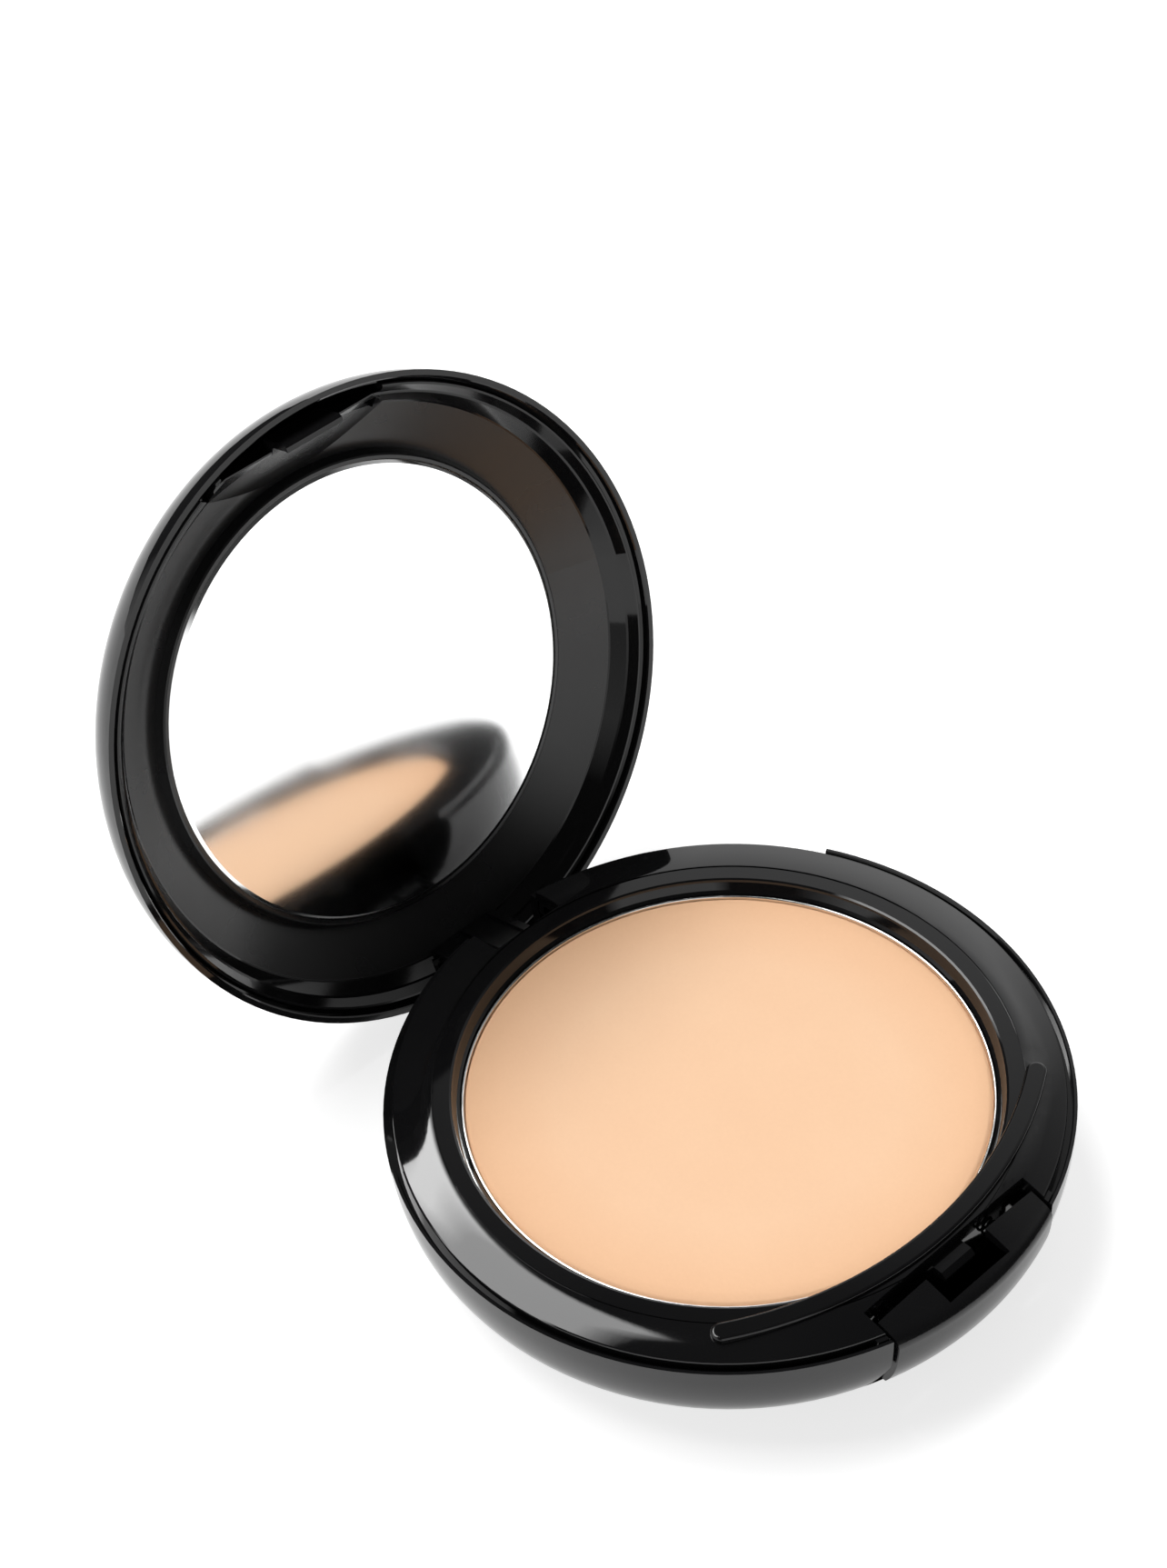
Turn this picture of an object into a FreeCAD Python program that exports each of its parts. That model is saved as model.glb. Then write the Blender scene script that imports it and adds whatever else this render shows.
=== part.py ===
import FreeCAD, Part
import math
import os
from FreeCAD import Vector

os.makedirs("parts", exist_ok=True)

# Round push-button powder compact, millimetres. The origin is the middle of the foot, +Z up, the push
# button faces -Y and the hinge is at +Y. Lid parts are drawn closed, then swung open about the hinge.

# ---- driving dimensions ----
CASE_R = 38.25            # outer radius of the case at the seam
BASE_H = 13.2             # height of the lower shell
SEAM = 0.1                # gap between lower shell and closed lid
LID_H = 11.6              # height of the lid's dome above its rim
LID_FULL = 6.5            # how square the dome's shoulder is
LID_CROWN = 0.03          # share of the dome's height by which its top curves down towards the shoulder
PAN_R = 29.6              # standard 59 mm pan
PAN_TOP = 12.6
PAN_DEPTH = 4.2
PAN_WALL = 0.35
OPEN_DEG = 108.0          # lid opening at its stop
HINGE_Y = 34.85
HINGE_Z = 6.2
MIRROR_R = 27.3
MIRROR_FACE = 18.7        # height of the mirror's face with the lid closed
MIRROR_T = 1.3

# ---- wall and detail sizes ----
SHELL_T = 1.3             # wall of the lower shell
LID_T = 1.1               # wall of the lid cover
RING_R = 37.14            # outer radius of the tray's glossy ring
RING_OUT_Z = 13.6         # ring height at its outer edge
BAND_R = 32.75            # outer radius of the flat inner band
BAND_Z = 14.2             # height of that band
WELL_LIP_R = 30.44        # inner edge of the band
WELL_R = PAN_R + 0.1      # radius of the well that holds the pan
LEDGE_Z = 12.3            # ledge in the lower shell that carries the tray
LIP_EDGE_R = 37.75        # inner radius of the shell's thin upper edge
RELIEF_DEG = 63.0         # the thin edge is left off this far either side of the hinge, clear of the lid
FOOT_CUT = 13.6           # depth at which the bowl's curve would close
LABEL_R = 24.0
LABEL_T = 0.2             # thickness of the label, set flush in the foot

BUTTON_W = 11.9           # half width of the push button
BUTTON_REAR = -33.6
BUTTON_LOW = 4.6          # height of its lower edge
BUTTON_PROUD = 0.3        # how far it stands out of the case
NOTCH_W = 4.6             # half width of the notch in its top face
NOTCH_BACK = -37.0
BUTTON_GAP = 0.4          # side clearance in the shell
RECESS_Y = -32.0          # rear wall of the button's recess
HINGE_GAP = 4.9           # half width of the gap for the lid's arm
ARM_W = 4.6               # half width of the lid's hinge arm
KNUCKLE_R = 1.9
PIN_R = 0.75
PIN_CLEAR = 0.05
PIN_HALF = 8.4            # half length of the hinge pin
BOSS_X = 7.2              # middle of each hinge boss in the lower shell
TRAY_LOW = 7.1            # underside of the tray's floor
TRAY_FLOOR = 8.1          # top of the tray's floor
PIN_CUT_LOW = 3.1         # floor of the hinge gap

LIP_R = 44.6              # inner radius of the raised clasp lip
LIP_WIDTH = 2.3
LIP_FRONT = -29.4         # where the lip crosses the middle plane
LIP_END_X = 24.4
LIP_TOP = 14.75
LIP_ROUND = 0.35

SPRING_X = 8.0            # the two springs stand this far either side of the middle
SPRING_Z = 9.0
COIL_R = 0.9
WIRE_R = 0.16
POST_R = 0.55

LID_RIM = BASE_H + SEAM
RIM_R = 37.45             # inner radius of the lid's rim
FLANGE_Z = LID_RIM + 0.7  # lower face of the lid frame's outer flange
BEZEL_OUT = (34.1, 17.0)  # outer edge of the sloping bezel: radius and height
BEZEL_IN = (28.5, 20.0)   # inner edge of the sloping bezel
SEAT_Z = MIRROR_FACE + MIRROR_T + 0.25
FRAME_BACK_Z = SEAT_Z + 1.35
CHORD_Y = -34.2           # straight wall at the front of the lid's bezel
CHORD_HALF = 11.4
FRONT_SPAN = (-15.6, 12.6)  # the flat latch front of the bezel runs between these
POCKET_LEFT = [(-12.2, -31.9), (-12.2, -35.0), (-14.7, -33.9)]
POCKET_RIGHT = [(11.0, -31.9), (11.15, -33.35), (9.2, -33.6)]
HOOK_HALF = 3.9
HOOK_TIP = 11.6

ORIGIN = Vector(0, 0, 0)
UP = Vector(0, 0, 1)


# ---- drawing helpers ----
def point(r, z):
    return Vector(r, 0, z)


def lines(points):
    """Straight edges through a list of (radius, height) pairs."""
    spots = [point(*p) for p in points]
    return [Part.LineSegment(a, b).toShape() for a, b in zip(spots, spots[1:])]


def curve(points, start=None, end=None):
    """A smooth edge through (radius, height) pairs, with optional end directions."""
    spots = [point(*p) for p in points]
    spline = Part.BSplineCurve()
    if start and end:
        spline.interpolate(Points=spots, InitialTangent=point(*start), FinalTangent=point(*end))
    else:
        spline.interpolate(Points=spots)
    return spline.toShape()


def arc(a, b, c):
    return Part.Arc(point(*a), point(*b), point(*c)).toShape()


def revolve(edges):
    """Turns a closed outline in the XZ plane into a solid of revolution about Z."""
    outline = Part.Wire(Part.__sortEdges__(edges))
    return Part.Face(outline).revolve(ORIGIN, UP, 360)


def box(x, y, z):
    """A box from three (low, high) pairs."""
    return Part.makeBox(x[1] - x[0], y[1] - y[0], z[1] - z[0], Vector(x[0], y[0], z[0]))


def disc(radius, low, high):
    return Part.makeCylinder(radius, high - low, Vector(0, 0, low))


def tube(outer, inner, low, high):
    return disc(outer, low, high).cut(disc(inner, low, high))


def rod_x(radius, half, y, z):
    return Part.makeCylinder(radius, 2 * half, Vector(-half, y, z), Vector(1, 0, 0))


def rod_y(radius, length, x, y, z):
    return Part.makeCylinder(radius, length, Vector(x, y, z), Vector(0, 1, 0))


def sector(half_deg, radius, low, high):
    """A wedge centred on +Y."""
    wedge = Part.makeCylinder(radius, high - low, Vector(0, 0, low), UP, 2 * half_deg)
    wedge.rotate(ORIGIN, UP, 90 - half_deg)
    return wedge


def prism(points, low, high):
    """An upright prism over a polygon of (x, y) corners."""
    spots = [Vector(x, y, low) for x, y in points]
    face = Part.Face(Part.makePolygon(spots + spots[:1]))
    return face.extrude(Vector(0, 0, high - low))


def bar_x(section, half):
    """A bar along X, as long either side, over a polygon of (y, z) corners."""
    spots = [Vector(-half, y, z) for y, z in section]
    face = Part.Face(Part.makePolygon(spots + spots[:1]))
    return face.extrude(Vector(2 * half, 0, 0))


def one_solid(shape):
    """The single solid that a chain of cuts and joins leaves."""
    clean = shape.removeSplitter()
    solids = sorted(clean.Solids, key=lambda s: s.Volume)
    return solids[-1]


def opened(shape):
    """Swings a lid part from closed to its open stop."""
    turned = shape.copy()
    turned.rotate(Vector(0, HINGE_Y, HINGE_Z), Vector(1, 0, 0), -OPEN_DEG)
    return turned


def save(name, shape):
    shape.exportStep("parts/" + name + ".step")


# ---- case outlines ----
def bowl_radius(depth, radius, closing):
    """Radius of the bowl at a depth below the seam: almost upright, then turning under."""
    return radius * (1 - (depth / closing) ** 2.6) ** 0.125


def bowl_points(radius, closing, depth, steps=14):
    return [(bowl_radius(depth * math.sin(math.pi / 2 * i / steps), radius, closing),
             BASE_H - depth * math.sin(math.pi / 2 * i / steps)) for i in range(steps + 1)]


def dome_points(radius, top, steps=20):
    spots = []
    for i in range(steps + 1):
        r = radius * math.sin(math.pi / 2 * (1 - i / steps))
        across = r / radius
        crown = 1 - LID_CROWN * across ** 2
        spots.append((r, LID_RIM + top * crown * math.sqrt(max(0.0, 1 - across ** LID_FULL))))
    return spots


def ring_crown():
    """The glossy ring's crowned top, from the flat band out to the rounded outer edge."""
    span = RING_R - 0.2 - BAND_R
    return [(BAND_R + span * t, BAND_Z + 0.06 - (BAND_Z + 0.06 - RING_OUT_Z) * t ** 1.6)
            for t in (0, 0.2, 0.4, 0.6, 0.8, 1)]


# ---- base parts ----
def shell_bowl():
    """Turned bowl with a flat foot, a recess for the label and a ledge that carries the tray."""
    outer = bowl_points(CASE_R, FOOT_CUT, BASE_H)
    foot_r = outer[-1][0]
    floor_z = 1.7
    inner_r = CASE_R - SHELL_T
    inner = bowl_points(inner_r, FOOT_CUT - SHELL_T, BASE_H - floor_z)
    inner = [p for p in inner if p[1] < LEDGE_Z - 0.2]
    edges = [curve(outer)]
    edges += lines([(foot_r, 0), (LABEL_R + 0.2, 0), (LABEL_R + 0.2, LABEL_T), (0, LABEL_T),
                    (0, floor_z), inner[-1]])
    edges += [curve(list(reversed(inner)))]
    edges += lines([inner[0], (inner_r, LEDGE_Z - 0.15), (inner_r, LEDGE_Z), (LIP_EDGE_R, LEDGE_Z),
                    (LIP_EDGE_R, BASE_H - 0.15), (LIP_EDGE_R + 0.15, BASE_H), (CASE_R, BASE_H)])
    return revolve(edges)


def bowl_envelope():
    """Everything inside the bowl's outer face."""
    outer = bowl_points(CASE_R, FOOT_CUT, BASE_H)
    return revolve([curve(outer)] + lines([outer[-1], (0, 0), (0, BASE_H), outer[0]]))


def hinge_boss(side):
    """Boss for one end of the pin, carried on a web from the floor."""
    width = (side * BOSS_X - 2.3, side * BOSS_X + 2.3)
    boss = rod_x(KNUCKLE_R + 0.5, PIN_HALF + 1, HINGE_Y, HINGE_Z)
    boss = boss.common(box(width, (31.6, 39), (0, 12)))
    web = box(width, (HINGE_Y - 1.2, 38), (1.2, HINGE_Z))
    return boss.fuse(web)


def button_mouth(side):
    """Small triangular opening in the shell beside the button's lower corner."""
    near = side * (BUTTON_W + BUTTON_GAP)
    far = near + side * 2.2
    low = BUTTON_LOW - BUTTON_GAP
    spots = [Vector(near, -46, low), Vector(near, -46, 8.4), Vector(far, -46, low)]
    face = Part.Face(Part.makePolygon(spots + spots[:1]))
    return face.extrude(Vector(0, 16, 0))


def base_shell():
    """Lower shell of the case with hinge bosses, tray supports and the button's opening."""
    shell = shell_bowl()
    inside = bowl_envelope()
    for side in (-1, 1):
        shell = shell.fuse(hinge_boss(side).common(inside))
    for angle in range(45, 360, 90):
        a = math.radians(angle)
        spot = Vector(22 * math.cos(a), 22 * math.sin(a), 1.2)
        shell = shell.fuse(Part.makeCylinder(1.6, TRAY_LOW - 1.2, spot))
    shell = shell.cut(rod_x(PIN_R, PIN_HALF + 0.1, HINGE_Y, HINGE_Z))
    shell = shell.cut(box((-HINGE_GAP, HINGE_GAP), (32.2, 40), (PIN_CUT_LOW, 20)))
    shell = shell.cut(sector(RELIEF_DEG, 45, LEDGE_Z, 20))
    width = BUTTON_W + BUTTON_GAP
    shell = shell.cut(box((-width, width), (-45, -30), (BUTTON_LOW - BUTTON_GAP, 20)))
    for side in (-1, 1):
        shell = shell.cut(button_mouth(side))
    return one_solid(shell)


def tray_body():
    """Well for the pan, flat band, crowned ring and a skirt that fits inside the shell."""
    crown = ring_crown()
    edges = lines([(0, TRAY_LOW), (31.2, TRAY_LOW), (31.2, 12.7), (35.9, 12.0), (35.9, 10.4), (36.7, 10.4),
                   (36.7, LEDGE_Z), (RING_R, LEDGE_Z), (RING_R, RING_OUT_Z - 0.2),
                   (RING_R - 0.06, RING_OUT_Z - 0.06), crown[-1]])
    edges += [curve(list(reversed(crown)))]
    edges += lines([crown[0], (BAND_R - 0.02, BAND_Z - 0.12), (BAND_R - 0.16, BAND_Z - 0.12),
                    (BAND_R - 0.18, BAND_Z), (WELL_LIP_R + 0.35, BAND_Z), (WELL_LIP_R + 0.1, BAND_Z - 0.1),
                    (WELL_LIP_R, BAND_Z - 0.35), (WELL_R + 0.3, PAN_TOP + 0.35), (WELL_R, PAN_TOP + 0.1),
                    (WELL_R, TRAY_FLOOR), (0, TRAY_FLOOR), (0, TRAY_LOW)])
    return revolve(edges)


def clasp_lip():
    """Raised arc laid across the front of the ring, with rounded ends and edges."""
    centre = LIP_FRONT + LIP_R
    low = 12.9
    outer_r = LIP_R + LIP_WIDTH
    mid = LIP_R + LIP_WIDTH / 2
    half = math.asin(LIP_END_X / mid)
    cap = LIP_WIDTH / 2 / mid

    def at(radius, angle):
        return Vector(radius * math.sin(angle), centre - radius * math.cos(angle), low)

    edges = [Part.Arc(at(r, -half), at(r, 0), at(r, half)).toShape() for r in (LIP_R, outer_r)]
    for side in (-1, 1):
        end = Part.Arc(at(LIP_R, side * half), at(mid, side * (half + cap)), at(outer_r, side * half))
        edges.append(end.toShape())
    outline = Part.Wire(Part.__sortEdges__(edges))
    lip = Part.Face(outline).extrude(Vector(0, 0, LIP_TOP - low))
    rim = [e for e in lip.Edges if e.BoundBox.ZMin > LIP_TOP - 1e-6]
    return lip.makeFillet(LIP_ROUND, rim)


def catch_tooth():
    """Tooth in the button's notch that the lid's hook snaps under."""
    root = RECESS_Y + 0.4
    section = [(root, 11.4), (-34.3, 12.0), (-34.3, 12.35), (-33.7, 12.9), (root, 12.9)]
    return bar_x(section, 2.3)


def groove_stop(side):
    """Short fill that ends the groove round the ring just before the button."""
    start = BUTTON_W + BUTTON_GAP
    width = sorted((side * start, side * (start + 1.2)))
    fill = box(width, (-38, -33), (LEDGE_Z, RING_OUT_Z - 0.35))
    return fill.common(tube(LIP_EDGE_R - 0.05, RING_R - 0.2, 0, 20))


def base_tray():
    """The inner tray with the clasp lip, the recess wall and the catch tooth."""
    width = BUTTON_W + BUTTON_GAP
    wall = box((-13.4, 13.4), (RECESS_Y, -27.5), (TRAY_LOW, 12.9)).cut(disc(31.0, 0, 20))
    tray = tray_body().fuse(wall).fuse(clasp_lip())
    tray = tray.cut(box((-width, width), (-45, RECESS_Y), (0, 20)))
    tray = tray.cut(box((-HINGE_GAP, HINGE_GAP), (BAND_R, 40), (9, 20)))
    tray = tray.cut(disc(WELL_R, TRAY_FLOOR, PAN_TOP + 0.1))
    for side in (-1, 1):
        tray = tray.fuse(groove_stop(side))
    return one_solid(tray.fuse(catch_tooth()))


def powder_pan():
    """Thin pressed tin dish with a rolled rim."""
    low = PAN_TOP - PAN_DEPTH
    bend = PAN_R - 0.6
    wall_in = PAN_R - PAN_WALL
    edges = lines([(0, low), (bend, low)])
    edges += [arc((bend, low), (PAN_R - 0.176, low + 0.176), (PAN_R, low + 0.6))]
    edges += lines([(PAN_R, low + 0.6), (PAN_R, PAN_TOP - 0.12)])
    edges += [arc((PAN_R, PAN_TOP - 0.12), (PAN_R - PAN_WALL / 2, PAN_TOP), (wall_in, PAN_TOP - 0.12))]
    edges += lines([(wall_in, PAN_TOP - 0.12), (wall_in, low + PAN_WALL), (0, low + PAN_WALL), (0, low)])
    return revolve(edges)


def pressed_powder():
    """Cake of powder with a softly rounded edge."""
    low = PAN_TOP - PAN_DEPTH + PAN_WALL
    top = PAN_TOP - 0.08
    r = PAN_R - PAN_WALL - 0.01
    edges = lines([(0, low), (r, low), (r, top - 0.54)])
    edges += [curve([(r, top - 0.54), (r - 0.25, top - 0.25), (r - 1.0, top - 0.06), (r - 2.6, top)])]
    edges += lines([(r - 2.6, top), (0, top), (0, low)])
    return revolve(edges)


# ---- push button ----
def crown_height(r):
    """Height of the button's top face, falling gently towards the front."""
    return BAND_Z + 0.1 - 1.08 * ((r - 30) / 7.2) ** 1.8


def button_block(inset):
    """Turned block of the button's form, drawn in by an inset: crown, rolled edge and wall."""
    proud = CASE_R + BUTTON_PROUD - inset
    roll = 1.8
    radii = [30 + (proud - roll - 30) * i / 4 for i in range(5)]
    crown = [(r, crown_height(r) - inset) for r in radii]
    wall_top = crown[-1][1] - max(0.3, roll - 0.3 - inset)
    step = (wall_top - BUTTON_LOW) / 5
    heights = [wall_top - step * i for i in range(6)]
    wall = [(bowl_radius(BASE_H - z, proud, FOOT_CUT), z) for z in heights]
    edges = [curve(crown), curve([crown[-1], wall[0]], (1, -0.25), (0, -1)), curve(wall)]
    edges += lines([wall[-1], (30, BUTTON_LOW), crown[0]])
    return revolve(edges)


def spring_front():
    """Where the springs' front ends sit, just inside the button's front wall."""
    return -math.sqrt((CASE_R - 1.2) ** 2 - (SPRING_X + 1.1) ** 2) + 0.62


def button_guide(side):
    """Wing that keeps the button in the shell, a rib that carries it, and a seat and post for a spring."""
    outer = side * (BUTTON_W + 1.3)
    inner = side * (BUTTON_W - 0.4)
    wing = box(sorted((outer, inner)), (BUTTON_REAR - 0.3, BUTTON_REAR + 0.25), (8.5, 10.2))
    rib = box(sorted((inner, side * (BUTTON_W - 1.1))), (-35.4, BUTTON_REAR + 0.25), (8.5, 10.2))
    front = -math.sqrt((CASE_R - 1.2) ** 2 - SPRING_X ** 2)
    seat = rod_y(1.25, spring_front() - front + 0.3, side * SPRING_X, front - 0.3, SPRING_Z)
    post = rod_y(POST_R, 1.9, side * SPRING_X, front - 0.3, SPRING_Z)
    return wing.fuse(rib).fuse(seat).fuse(post)


def push_button():
    """C-shaped block in the front of the case, hollow behind, with a notch for the lid's hook."""
    width = BUTTON_W - 1.1
    block = button_block(0).common(box((-BUTTON_W, BUTTON_W), (-45, BUTTON_REAR), (BUTTON_LOW, 20)))
    hollow = button_block(1.25).common(box((-width, width), (-45, BUTTON_REAR + 1), (0, 20)))
    hollow = hollow.fuse(box((-width, width), (-35.6, BUTTON_REAR + 1), (0, 9)))
    button = block.cut(hollow)
    button = button.cut(box((-NOTCH_W, NOTCH_W), (NOTCH_BACK, BUTTON_REAR + 1), (10.5, 20)))
    for side in (-1, 1):
        button = button.fuse(button_guide(side))
    return one_solid(button)


def button_springs():
    """Two small coil springs between the button's front wall and the recess wall."""
    start = spring_front() + 0.02
    length = RECESS_Y - 0.02 - start
    helix = Part.makeHelix(length / 4.5 * 0.98, length - 2 * WIRE_R, COIL_R)
    section = Part.Wire(Part.Circle(Vector(COIL_R, 0, 0), Vector(0, 1, 0), WIRE_R).toShape())
    coil = Part.Wire(helix).makePipeShell([section], True, True)
    springs = []
    for side in (-1, 1):
        spring = coil.copy()
        spring.translate(Vector(0, 0, WIRE_R))
        spring.rotate(ORIGIN, Vector(1, 0, 0), -90)
        spring.translate(Vector(side * SPRING_X, start, SPRING_Z))
        springs.append(spring.Solids[0])
    return Part.makeCompound(springs)


# ---- lid parts, drawn closed ----
def lid_cover():
    """Domed outer cover with a thickened rim, cut away for the hinge arm."""
    outer = dome_points(CASE_R, LID_H)
    inner = dome_points(CASE_R - LID_T, LID_H - LID_T)
    inner = [p for p in inner if p[1] > LID_RIM + 1.6]
    edges = [curve(outer, (0, 1), (-1, 0))]
    edges += lines([outer[-1], inner[-1]])
    edges += [curve(list(reversed(inner)))]
    edges += lines([inner[0], (37.0, LID_RIM + 1.2), (RIM_R, LID_RIM + 1.0), (RIM_R, LID_RIM + 0.15),
                    (RIM_R + 0.15, LID_RIM), (CASE_R, LID_RIM)])
    gap = box((-ARM_W - 0.9, ARM_W + 0.9), (33, 37.75), (0, LID_RIM + 1.2))
    return one_solid(revolve(edges).cut(gap))


def frame_wall():
    """Inner wall of the lid from the flange down to the bezel, in two bands."""
    return [(36.9, FLANGE_Z + 0.15), (36.75, FLANGE_Z), (36.5, FLANGE_Z), (35.72, FLANGE_Z + 1.0),
            (35.45, FLANGE_Z + 1.1), (34.35, BEZEL_OUT[1] - 0.15), BEZEL_OUT]


def frame_back():
    """Hidden back of the frame, a little clear of the cover's dome."""
    return [(28.6, FRAME_BACK_Z), (30.0, FRAME_BACK_Z - 0.05), (31.6, 20.5), (33.5, 18.9), (35.2, 17.2),
            (36.1, 16.3)]


def frame_ring():
    """Sloping bezel with an outer flange and a raised seat for the mirror."""
    seat_r = MIRROR_R + 0.05
    top = MIRROR_FACE + 0.15
    collar = [BEZEL_OUT, BEZEL_IN, (27.95, top + 0.15), (27.75, top), (seat_r, top), (seat_r, SEAT_Z),
              (0, SEAT_Z), (0, SEAT_Z + 0.8), (27.4, SEAT_Z + 0.8)] + frame_back()
    wall = frame_wall()
    return revolve(lines(wall) + lines(collar + [(36.75, 15.4), wall[0]]))


def latch_front():
    """Front of the bezel, raised to carry the hook and blended into the dish."""
    outline = [(0, FLANGE_Z), (36.1, FLANGE_Z)] + list(reversed(frame_back())) + [(0, FRAME_BACK_Z)]
    inside = revolve(lines(outline + outline[:1]))
    section = [(-37, 14.95), (-34.0, 15.0), (-28.9, 19.7), (-37, 19.7)]
    return bar_x(section, 16).common(inside).common(box(FRONT_SPAN, (-40, 0), (0, 30)))


def hinge_arm():
    """Arm from the frame down to the knuckle, with stiffening ribs."""
    arm = rod_x(KNUCKLE_R, ARM_W, HINGE_Y, HINGE_Z)
    arm = arm.fuse(box((-ARM_W, ARM_W), (HINGE_Y - 1.4, HINGE_Y + 1.4), (HINGE_Z, 17.2)))
    for x in (-ARM_W, -0.5, ARM_W - 1.0):
        arm = arm.fuse(box((x, x + 1.0), (HINGE_Y - 1.85, HINGE_Y + 1.3), (HINGE_Z, 16.4)))
    arm = arm.common(arm_space())
    return arm.cut(rod_x(PIN_R + PIN_CLEAR, ARM_W + 1, HINGE_Y, HINGE_Z))


def arm_space():
    """Space under the dome that the hinge arm may fill."""
    outline = [(0, 0), (36.9, 0), (36.9, 15.4)] + list(reversed(frame_back())) + [(0, FRAME_BACK_Z)]
    return revolve(lines(outline + outline[:1]))


def latch_hook():
    """Hook plate in front of the chord wall, with a small inward barb."""
    root = CHORD_Y + 0.5
    section = [(root, 15.2), (-34.75, 14.4), (-34.75, 11.95), (-34.62, 11.8), (-34.62, HOOK_TIP),
               (-35.2, HOOK_TIP), (-35.55, 12.0), (-35.55, 16.0), (root, 16.0)]
    return bar_x(section, HOOK_HALF)


def lid_frame():
    """Inner frame of the lid: bezel, mirror seat, latch front and hinge arm."""
    frame = frame_ring().fuse(latch_front())
    frame = frame.cut(box((-CHORD_HALF, CHORD_HALF), (-40, CHORD_Y), (0, 18.2)))
    for corners in (POCKET_LEFT, POCKET_RIGHT):
        frame = frame.cut(prism(corners, 0, 17.6))
    frame = frame.cut(box((-ARM_W - 1.1, ARM_W + 1.1), (33.2, 40), (0, 16.3)))
    frame = frame.fuse(latch_hook()).fuse(hinge_arm())
    return one_solid(frame)


def mirror():
    """Glass disc with a bevelled edge."""
    top = MIRROR_FACE + MIRROR_T
    return revolve(lines([(0, MIRROR_FACE), (MIRROR_R - 0.45, MIRROR_FACE), (MIRROR_R, MIRROR_FACE + 0.3),
                          (MIRROR_R, top), (0, top), (0, MIRROR_FACE)]))


def hinge_pin():
    """Steel pin pressed into the base bosses, with the lid's arm turning on it."""
    pin = rod_x(PIN_R, PIN_HALF, HINGE_Y, HINGE_Z)
    ends = [e for e in pin.Edges if abs(abs(e.CenterOfMass.x) - PIN_HALF) < 1e-6]
    return pin.makeChamfer(0.12, ends)


def build():
    save("base_shell", base_shell())
    save("base_tray", base_tray())
    save("powder_pan", powder_pan())
    save("pan_adhesive", disc(20, TRAY_FLOOR, PAN_TOP - PAN_DEPTH))
    save("pressed_powder", pressed_powder())
    save("base_label", disc(LABEL_R, 0, LABEL_T))
    save("hinge_pin", hinge_pin())
    save("push_button", push_button())
    save("button_springs", button_springs())
    save("lid_cover", opened(lid_cover()))
    save("lid_frame", opened(lid_frame()))
    save("mirror", opened(mirror()))
    save("mirror_adhesive", opened(disc(24, MIRROR_FACE + MIRROR_T, SEAT_Z)))


build()
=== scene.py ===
import math

import bmesh
import bpy
from mathutils import Matrix, Vector, noise


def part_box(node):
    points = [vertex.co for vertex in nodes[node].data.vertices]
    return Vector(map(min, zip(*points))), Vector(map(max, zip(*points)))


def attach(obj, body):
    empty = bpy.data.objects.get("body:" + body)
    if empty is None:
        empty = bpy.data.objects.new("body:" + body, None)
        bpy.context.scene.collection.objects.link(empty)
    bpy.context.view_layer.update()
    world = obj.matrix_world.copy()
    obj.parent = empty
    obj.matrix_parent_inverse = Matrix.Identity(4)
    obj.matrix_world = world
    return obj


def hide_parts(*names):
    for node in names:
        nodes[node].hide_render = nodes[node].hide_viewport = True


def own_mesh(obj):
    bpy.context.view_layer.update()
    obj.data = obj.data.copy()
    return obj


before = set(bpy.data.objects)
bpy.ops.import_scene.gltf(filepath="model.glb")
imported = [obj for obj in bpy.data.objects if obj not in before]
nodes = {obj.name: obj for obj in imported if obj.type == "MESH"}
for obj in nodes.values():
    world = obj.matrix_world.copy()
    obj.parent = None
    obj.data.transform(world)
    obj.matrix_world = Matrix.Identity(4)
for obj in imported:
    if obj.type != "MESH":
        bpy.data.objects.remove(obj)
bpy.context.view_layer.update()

# Powder compact, shown with its lid open. Lengths are in metres, and in millimetres in the
# outlines of the turned pieces.
MM = 0.001
OPEN_DEG = 108            # how far the lid stands open at rest
HINGE_Y = 34.85 * MM
HINGE_Z = 6.2 * MM
BEZEL_R = 34.15 * MM      # outer edge of the lid's satin bezel
PAN_WALL = 0.35           # millimetres
SPRING_WIRE = 0.16 * MM   # radius of the wire
SPRING_COIL = 0.9 * MM    # radius of the coil
STUDIO_BASE = 0.04        # light from where no panel stands


# ---- material helpers ----
def new_material(name):
    """A new material, its node tree and its shader."""
    material = bpy.data.materials.new(name)
    material.use_nodes = True
    tree = material.node_tree
    return material, tree, tree.nodes["Principled BSDF"]


def object_axes(tree):
    """The x, y and z of a point in its object's own coordinates."""
    coords = tree.nodes.new("ShaderNodeTexCoord")
    split = tree.nodes.new("ShaderNodeSeparateXYZ")
    tree.links.new(coords.outputs["Object"], split.inputs[0])
    return split.outputs


def noise_node(tree, scale, detail=4.0, rough=0.5, stretch=None):
    """Noise in the object's own coordinates, which stretch scales along each axis."""
    coords = tree.nodes.new("ShaderNodeTexCoord")
    texture = tree.nodes.new("ShaderNodeTexNoise")
    texture.inputs["Scale"].default_value = scale
    texture.inputs["Detail"].default_value = detail
    texture.inputs["Roughness"].default_value = rough
    source = coords.outputs["Object"]
    if stretch:
        mapping = tree.nodes.new("ShaderNodeMapping")
        mapping.inputs["Scale"].default_value = stretch
        tree.links.new(source, mapping.inputs["Vector"])
        source = mapping.outputs["Vector"]
    tree.links.new(source, texture.inputs["Vector"])
    return texture.outputs["Fac"]


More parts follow.
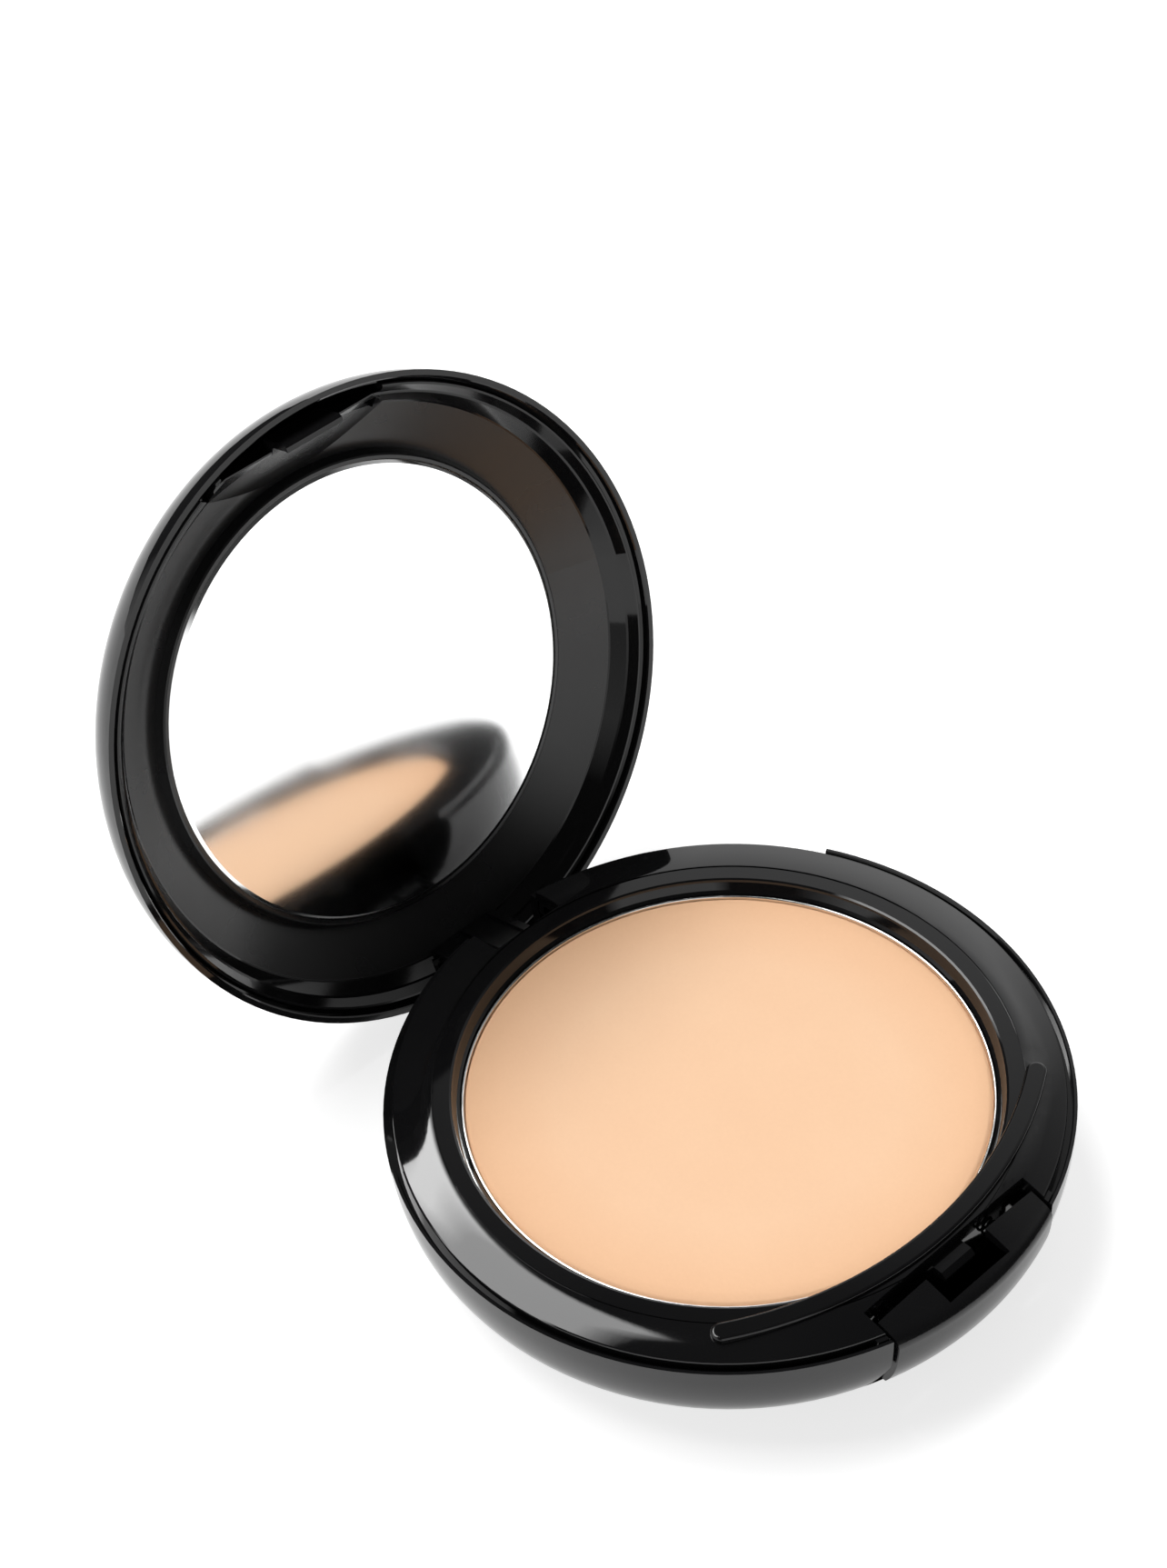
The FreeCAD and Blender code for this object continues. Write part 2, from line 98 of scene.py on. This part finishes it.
def remap(tree, source, low, high, from_low=0.3, from_high=0.7):
    """Maps a node's output from one range to another."""
    node = tree.nodes.new("ShaderNodeMapRange")
    node.inputs["From Min"].default_value = from_low
    node.inputs["From Max"].default_value = from_high
    node.inputs["To Min"].default_value = low
    node.inputs["To Max"].default_value = high
    tree.links.new(source, node.inputs["Value"])
    return node.outputs["Result"]


def math_node(tree, operation, first, second=None, third=None):
    """One Math node; each input may be a number or a node's output."""
    node = tree.nodes.new("ShaderNodeMath")
    node.operation = operation
    for socket, value in zip(node.inputs, (first, second, third)):
        if isinstance(value, (int, float)):
            socket.default_value = value
        elif value is not None:
            tree.links.new(value, socket)
    return node.outputs[0]


def blend_colour(tree, factor, first, second):
    """Mixes two colours by a node's output."""
    node = tree.nodes.new("ShaderNodeMix")
    node.data_type = "RGBA"
    tree.links.new(factor, node.inputs["Factor"])
    node.inputs[6].default_value = (*first, 1)
    node.inputs[7].default_value = (*second, 1)
    return node.outputs[2]


def multiply_colour(tree, factor, first, second):
    """First colour times the second, by a factor; each may be a number or a node's output."""
    node = tree.nodes.new("ShaderNodeMix")
    node.data_type = "RGBA"
    node.blend_type = "MULTIPLY"
    for socket, value in ((node.inputs["Factor"], factor), (node.inputs[6], first), (node.inputs[7], second)):
        if isinstance(value, (float, tuple)):
            socket.default_value = value
        else:
            tree.links.new(value, socket)
    return node.outputs[2]


def add_bump(tree, shader, source, strength, distance):
    """Bumps a surface by a node's output."""
    bump = tree.nodes.new("ShaderNodeBump")
    bump.inputs["Strength"].default_value = strength
    bump.inputs["Distance"].default_value = distance
    tree.links.new(source, bump.inputs["Height"])
    tree.links.new(bump.outputs["Normal"], shader.inputs["Normal"])


def plastic_body(name, bump):
    """Near-black plastic with a faint grain, its roughness still to be set."""
    material, tree, shader = new_material(name)
    shader.inputs["IOR"].default_value = 1.45
    handling = noise_node(tree, 60.0, 3.0)
    grain = noise_node(tree, 900.0, 2.0)
    tree.links.new(blend_colour(tree, handling, (0.004, 0.004, 0.0045), (0.006, 0.006, 0.0062)),
                   shader.inputs["Base Color"])
    add_bump(tree, shader, grain, bump, 0.02 * MM)
    return material, tree, shader, handling


def black_plastic(name, rough_low, rough_high, bump):
    """Near-black plastic that handling has made a little duller in places."""
    material, tree, shader, handling = plastic_body(name, bump)
    tree.links.new(remap(tree, handling, rough_low, rough_high), shader.inputs["Roughness"])
    return material


def metal(name, colour, rough_low, rough_high, stretch=None, bump=0.1):
    """Metal with faint streaks in its colour, roughness and surface."""
    material, tree, shader = new_material(name)
    shader.inputs["Metallic"].default_value = 1.0
    streaks = noise_node(tree, 700.0, 3.0, stretch=stretch)
    darker = tuple(0.9 * c for c in colour)
    tree.links.new(blend_colour(tree, streaks, darker, colour), shader.inputs["Base Color"])
    tree.links.new(remap(tree, streaks, rough_low, rough_high), shader.inputs["Roughness"])
    add_bump(tree, shader, streaks, bump, 0.02 * MM)
    return material


def edge_share(tree, inner, outer):
    """0 inside one radius about the object's own Z axis, rising to 1 at another."""
    x, y, _ = object_axes(tree)
    square = math_node(tree, "MULTIPLY_ADD", x, x, math_node(tree, "MULTIPLY", y, y))
    return remap(tree, math_node(tree, "SQRT", square), 0.0, 1.0, inner, outer)


def powder_material():
    """Fine-grained cake, a little warmer and deeper towards its edge."""
    material, tree, shader = new_material("Pressed powder")
    grain = noise_node(tree, 2600.0, 5.0, 0.6)
    patches = noise_node(tree, 55.0, 4.0, 0.55)
    tone = blend_colour(tree, remap(tree, patches, 0, 1), (0.94, 0.615, 0.395), (0.96, 0.64, 0.415))
    specks = blend_colour(tree, grain, (0.6, 0.45, 0.33), (1, 1, 1))
    flecked = multiply_colour(tree, 0.10, tone, specks)
    edge = edge_share(tree, 19 * MM, 29.5 * MM)
    colour = multiply_colour(tree, edge, flecked, (0.97, 0.9, 0.84, 1))
    tree.links.new(colour, shader.inputs["Base Color"])
    shader.inputs["Roughness"].default_value = 0.85
    shader.inputs["Specular IOR Level"].default_value = 0.2
    add_bump(tree, shader, grain, 0.25, 0.05 * MM)
    return material


def paper(name, colour):
    """Matt surface with faint fibres."""
    material, tree, shader = new_material(name)
    fibres = noise_node(tree, 500.0, 6.0, 0.7)
    darker = tuple(0.85 * c for c in colour)
    tree.links.new(blend_colour(tree, fibres, darker, colour), shader.inputs["Base Color"])
    shader.inputs["Roughness"].default_value = 0.6
    add_bump(tree, shader, fibres, 0.2, 0.03 * MM)
    return material


def mirror_glass():
    """Silvered glass with faint smears."""
    material, tree, shader = new_material("Silvered mirror")
    shader.inputs["Metallic"].default_value = 1.0
    shader.inputs["Base Color"].default_value = (0.95, 0.955, 0.955, 1)
    smears = noise_node(tree, 40.0, 3.0)
    tree.links.new(remap(tree, smears, 0.07, 0.11), shader.inputs["Roughness"])
    return material


def assign(names, material):
    """Gives CAD nodes one material."""
    for name in names:
        mesh = nodes[name].data
        mesh.materials.clear()
        mesh.materials.append(material)


def lid_radius(tree, node):
    """Distance from the lid's own axis, worked out from the open lid's coordinates."""
    swing = math.radians(OPEN_DEG)
    offset = node.matrix_world.translation
    x, y, z = object_axes(tree)
    behind = math_node(tree, "ADD", y, offset.y - HINGE_Y)
    above = math_node(tree, "ADD", z, offset.z - HINGE_Z)
    y_part = math_node(tree, "MULTIPLY", behind, math.cos(swing))
    z_part = math_node(tree, "MULTIPLY", above, math.sin(swing))
    depth = math_node(tree, "ADD", math_node(tree, "SUBTRACT", y_part, z_part), HINGE_Y)
    square = math_node(tree, "MULTIPLY", depth, depth)
    return math_node(tree, "SQRT", math_node(tree, "MULTIPLY_ADD", x, x, square))


def lid_frame_plastic():
    """Glossy black plastic with a soft satin finish inside the bezel's outer edge."""
    material, tree, shader, _ = plastic_body("Lid frame plastic", 0.05)
    bezel = math_node(tree, "LESS_THAN", lid_radius(tree, nodes["lid_frame"]), BEZEL_R)
    handling = noise_node(tree, 80.0, 3.0)
    satin = remap(tree, handling, 0.26, 0.31)
    gloss = remap(tree, handling, 0.05, 0.09)
    spread = math_node(tree, "SUBTRACT", satin, gloss)
    tree.links.new(math_node(tree, "MULTIPLY_ADD", spread, bezel, gloss), shader.inputs["Roughness"])
    tree.links.new(math_node(tree, "MULTIPLY_ADD", bezel, 0.3, 0.45), shader.inputs["Specular IOR Level"])
    return material


GLOSS = black_plastic("Polished black plastic", 0.03, 0.06, 0.05)
SATIN = black_plastic("Satin black plastic", 0.16, 0.22, 0.12)
assign(["base_shell", "base_tray", "lid_cover"], GLOSS)
assign(["lid_frame"], lid_frame_plastic())
assign(["push_button"], SATIN)
assign(["hinge_pin"], metal("Drawn steel", (0.6, 0.6, 0.62), 0.2, 0.35, (0.1, 1, 1)))
assign(["pan_adhesive", "mirror_adhesive"], paper("Adhesive pad", (0.8, 0.79, 0.74)))
assign(["base_label"], paper("Blank label", (0.55, 0.55, 0.56)))
assign(["mirror"], mirror_glass())


# ---- finely turned pieces ----
def finished(mesh, name):
    """Turns a bmesh into a smooth-shaded object in the scene."""
    bmesh.ops.recalc_face_normals(mesh, faces=mesh.faces)
    for face in mesh.faces:
        face.smooth = True
    data = bpy.data.meshes.new(name)
    mesh.to_mesh(data)
    mesh.free()
    piece = bpy.data.objects.new(name, data)
    bpy.context.scene.collection.objects.link(piece)
    return piece


def turned(name, profile, segments=288, uneven=0.0):
    """Solid of revolution from (radius, height) in millimetres; the surface may be slightly uneven."""
    mesh = bmesh.new()
    rings = []
    for r, z in profile:
        if r < 1e-6:
            rings.append([mesh.verts.new((0, 0, z * MM))])
            continue
        ring = []
        for i in range(segments):
            a = 2 * math.pi * i / segments
            x, y = r * math.cos(a), r * math.sin(a)
            lift = uneven * noise.noise(Vector((x * 0.35, y * 0.35, z))) if uneven else 0
            ring.append(mesh.verts.new((x * MM, y * MM, (z + lift) * MM)))
        rings.append(ring)
    for low, high in zip(rings, rings[1:]):
        for i in range(segments):
            j = (i + 1) % segments
            corners = [low[i % len(low)], low[j % len(low)], high[j % len(high)], high[i % len(high)]]
            mesh.faces.new(list(dict.fromkeys(corners)))
    return finished(mesh, name)


def rounded(centre_r, centre_z, radius, start, end, steps=5):
    """Points round a fillet, from one angle to another in degrees."""
    spots = []
    for i in range(steps + 1):
        a = math.radians(start + (end - start) * i / steps)
        spots.append((centre_r + radius * math.cos(a), centre_z + radius * math.sin(a)))
    return spots


def place_powder():
    """Cake with a worn, softly rounded edge and a faintly uneven top."""
    corner, far = (v / MM for v in map(Vector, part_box("pressed_powder")))
    low, top, edge = corner.z + 0.01, far.z - 0.02, far.x - 0.01
    worn = 0.7
    profile = [(0, low), (edge, low), (edge, top - worn - 0.05)]
    profile += rounded(edge - worn, top - worn, worn, 0, 80, 8)
    profile += [(edge - 0.8 - 1.2 * i, top) for i in range(1, 24)] + [(0, top)]
    cake = turned("powder_cake", profile, uneven=0.035)
    cake.data.materials.append(powder_material())
    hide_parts("pressed_powder")
    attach(cake, "base")


def place_pan():
    """Thin tin dish with a rounded foot and a rolled rim."""
    corner, far = (v / MM for v in map(Vector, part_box("powder_pan")))
    low, top, outer = corner.z, far.z, far.x
    floor = low + PAN_WALL + 0.01
    rim, bend = PAN_WALL / 2, 0.6
    profile = [(0, low)] + rounded(outer - bend, low + bend, bend, -90, 0)
    profile += rounded(outer - rim, top - rim, rim, 0, 180, 8)
    profile += [(outer - PAN_WALL, floor), (0, floor)]
    pan = turned("tin_pan", profile)
    pan.data.materials.append(metal("Tinned pan", (0.86, 0.86, 0.85), 0.12, 0.25))
    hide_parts("powder_pan")
    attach(pan, "base")


def coil(mesh, x, z, low, high, radius, wire, turns=4.5, steps=180, sides=12):
    """One closed helical wire along Y, added to a bmesh; all sizes in metres."""
    rings = []
    for i in range(steps + 1):
        t = i / steps
        a = 2 * math.pi * turns * t
        outward = Vector((math.cos(a), 0, math.sin(a)))
        centre = Vector((x, low + wire + (high - low - 2 * wire) * t, z)) + radius * outward
        ring = []
        for k in range(sides):
            b = 2 * math.pi * k / sides
            ring.append(mesh.verts.new(centre + wire * (math.cos(b) * outward + Vector((0, math.sin(b), 0)))))
        rings.append(ring)
    for first, second in zip(rings, rings[1:]):
        for k in range(sides):
            j = (k + 1) % sides
            mesh.faces.new([first[k], first[j], second[j], second[k]])
    mesh.faces.new(rings[0])
    mesh.faces.new(list(reversed(rings[-1])))


def place_springs():
    """Two return springs for the button."""
    low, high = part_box("button_springs")
    middle = (low[2] + high[2]) / 2
    reach = high[0] - SPRING_WIRE - SPRING_COIL
    mesh = bmesh.new()
    for x in (-reach, reach):
        coil(mesh, x, middle, low[1], high[1], SPRING_COIL, SPRING_WIRE)
    springs = finished(mesh, "return_springs")
    springs.data.materials.append(metal("Oiled spring wire", (0.09, 0.09, 0.095), 0.3, 0.45))
    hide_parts("button_springs")
    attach(springs, "base")
    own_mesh(springs)


place_powder()
place_pan()
place_springs()


# ---- floor, light and camera ----
def make_floor():
    """Pale floor just under the foot; it glows a little, which keeps the shadow faint."""
    half = 90    # metres; only low views see past its edge
    mesh = bpy.data.meshes.new("Floor")
    corners = [(-half, -half, 0), (half, -half, 0), (half, half, 0), (-half, half, 0)]
    mesh.from_pydata(corners, [], [(0, 1, 2, 3)])
    floor = bpy.data.objects.new("Floor", mesh)
    bpy.context.scene.collection.objects.link(floor)
    material, tree, shader = new_material("Pale sweep")
    shade = noise_node(tree, 30.0)
    tree.links.new(blend_colour(tree, shade, (0.59, 0.59, 0.59), (0.60, 0.60, 0.60)),
                   shader.inputs["Base Color"])
    shader.inputs["Roughness"].default_value = 0.9
    shader.inputs["Emission Color"].default_value = (1, 1, 1, 1)
    shader.inputs["Emission Strength"].default_value = 0.72
    shader.inputs["Specular IOR Level"].default_value = 0.1
    mesh.materials.append(material)
    floor.location.z = -0.05 * MM


def within(tree, value, centre, half, soft, turn=False):
    """1 inside centre +- half degrees, falling to 0 over the soft edge."""
    away = math_node(tree, "SUBTRACT", value, centre)
    if turn:
        away = math_node(tree, "WRAP", away, 180.0, -180.0)
    return remap(tree, math_node(tree, "ABSOLUTE", away), 1.0, 0.0, half - soft / 2, half + soft / 2)


def make_world(panels, base):
    """Studio as seen by direction: azimuth 0 is -Y and 90 is +X, elevation 90 is straight up."""
    world = bpy.data.worlds.new("Studio")
    bpy.context.scene.world = world
    world.use_nodes = True
    tree = world.node_tree
    coords = tree.nodes.new("ShaderNodeTexCoord")
    split = tree.nodes.new("ShaderNodeSeparateXYZ")
    tree.links.new(coords.outputs["Generated"], split.inputs[0])
    x, y, z = split.outputs
    azimuth = math_node(tree, "ARCTAN2", x, math_node(tree, "MULTIPLY", y, -1.0))
    azimuth = math_node(tree, "MULTIPLY", azimuth, 180 / math.pi)
    elevation = math_node(tree, "MULTIPLY", math_node(tree, "ARCSINE", z), 180 / math.pi)
    total = base
    for where, wide, height, tall, soft, level in panels:
        across = within(tree, azimuth, where, wide, soft, turn=True)
        panel = math_node(tree, "MULTIPLY", across, within(tree, elevation, height, tall, soft))
        total = math_node(tree, "MULTIPLY_ADD", panel, level, total)
    tree.links.new(total, tree.nodes["Background"].inputs["Strength"])
    tree.nodes["Background"].inputs["Color"].default_value = (1, 1, 1, 1)


def make_camera():
    """Looks down from the front left; angles are in degrees, turned to radians."""
    azimuth, elevation, roll = (math.radians(a) for a in (-40.21, 44.08, -4.15))
    target = MM * Vector((27.54, 53.44, 4.19))
    distance = 380.34 * MM
    back = Vector((math.sin(azimuth) * math.cos(elevation), -math.cos(azimuth) * math.cos(elevation),
                   math.sin(elevation)))
    right = Vector((math.cos(azimuth), math.sin(azimuth), 0))
    up = back.cross(right)
    side = math.cos(roll) * right + math.sin(roll) * up
    head = -math.sin(roll) * right + math.cos(roll) * up
    data = bpy.data.cameras.new("Camera")
    data.lens = 69.01
    data.sensor_width = 36
    data.clip_start, data.clip_end = 0.01, 20
    camera = bpy.data.objects.new("Camera", data)
    bpy.context.scene.collection.objects.link(camera)
    turn = Matrix((side, head, back)).transposed().to_4x4()
    camera.matrix_world = Matrix.Translation(target + distance * back) @ turn
    bpy.context.scene.camera = camera


# Degrees: azimuth, half width, elevation, half height, soft edge; then the level of light.
PANELS = [
    (192, 40, 60, 13, 4, 7.6),
    (165, 15, 50, 5, 5, 9.0),
    (127, 18, 27, 20, 14, 1.5),
    (95, 30, 20, 30, 20, 0.5),
    (-24, 20, 12, 28, 6, 1.05),
    (-120, 40, 15, 25, 20, 1.0),
]

make_floor()
make_world(PANELS, STUDIO_BASE)
make_camera()
bpy.context.scene.view_settings.view_transform = "Standard"
